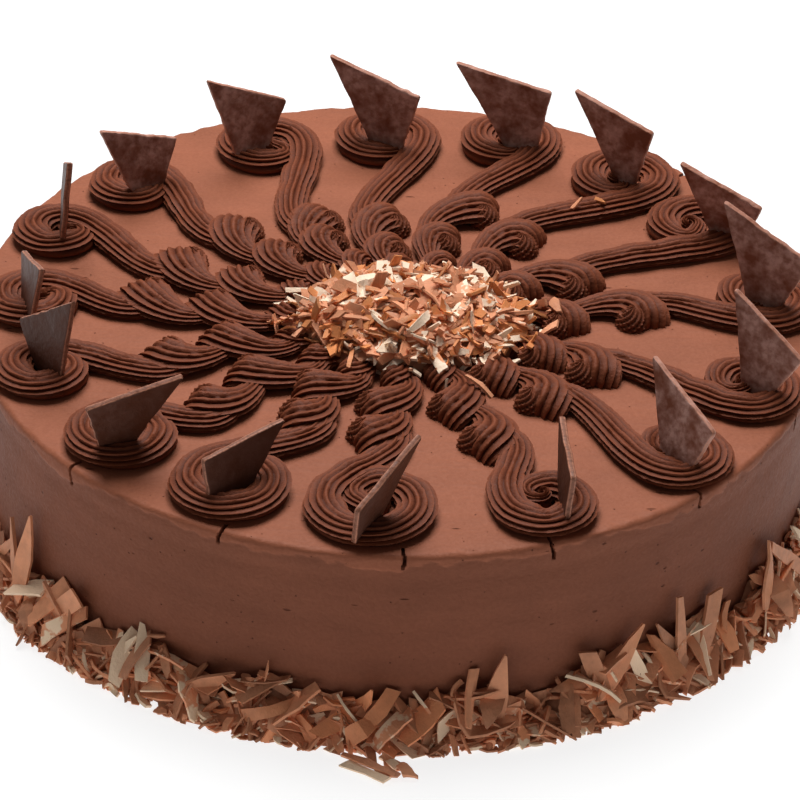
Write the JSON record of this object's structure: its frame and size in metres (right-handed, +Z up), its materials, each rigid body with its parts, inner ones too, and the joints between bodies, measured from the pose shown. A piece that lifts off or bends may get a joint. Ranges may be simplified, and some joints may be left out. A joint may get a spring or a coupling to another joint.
{
  "type": "layer cake",
  "caption": "Round iced layer cake with piped scrolls, upright chocolate triangles, a heap of shavings on top and a ring of shavings round its foot.",
  "frame": {"origin": "middle of the cake's underside", "axes": "+Z up; -Y towards the viewer of the picture, +X to the right"},
  "size_m": [0.3039, 0.3172, 0.1078],
  "materials": {
    "icing": "matte milk chocolate buttercream, finely pitted",
    "piping": "satin dark chocolate buttercream, ridged",
    "chocolate": "satin dark chocolate with a pale bloom",
    "shavings": "matte milk chocolate shavings, some cream coloured"
  },
  "bodies": {
    "root": {"iced_cake": "icing", "piped_scroll_01": "piping", "piped_scroll_02": "piping", "piped_scroll_03": "piping", "piped_scroll_04": "piping", "piped_scroll_05": "piping", "piped_scroll_06": "piping", "piped_scroll_07": "piping", "piped_scroll_08": "piping", "piped_scroll_09": "piping", "piped_scroll_10": "piping", "piped_scroll_11": "piping", "piped_scroll_12": "piping", "piped_scroll_13": "piping", "piped_scroll_14": "piping", "piped_scroll_15": "piping", "piped_scroll_16": "piping", "chocolate_shard_01": "chocolate", "chocolate_shard_02": "chocolate", "chocolate_shard_03": "chocolate", "chocolate_shard_04": "chocolate", "chocolate_shard_05": "chocolate", "chocolate_shard_06": "chocolate", "chocolate_shard_07": "chocolate", "chocolate_shard_08": "chocolate", "chocolate_shard_09": "chocolate", "chocolate_shard_10": "chocolate", "chocolate_shard_11": "chocolate", "chocolate_shard_12": "chocolate", "chocolate_shard_13": "chocolate", "chocolate_shard_14": "chocolate", "chocolate_shard_15": "chocolate", "chocolate_shard_16": "chocolate", "top_shavings": "shavings", "base_shavings": "shavings"}
  },
  "joints": []
}
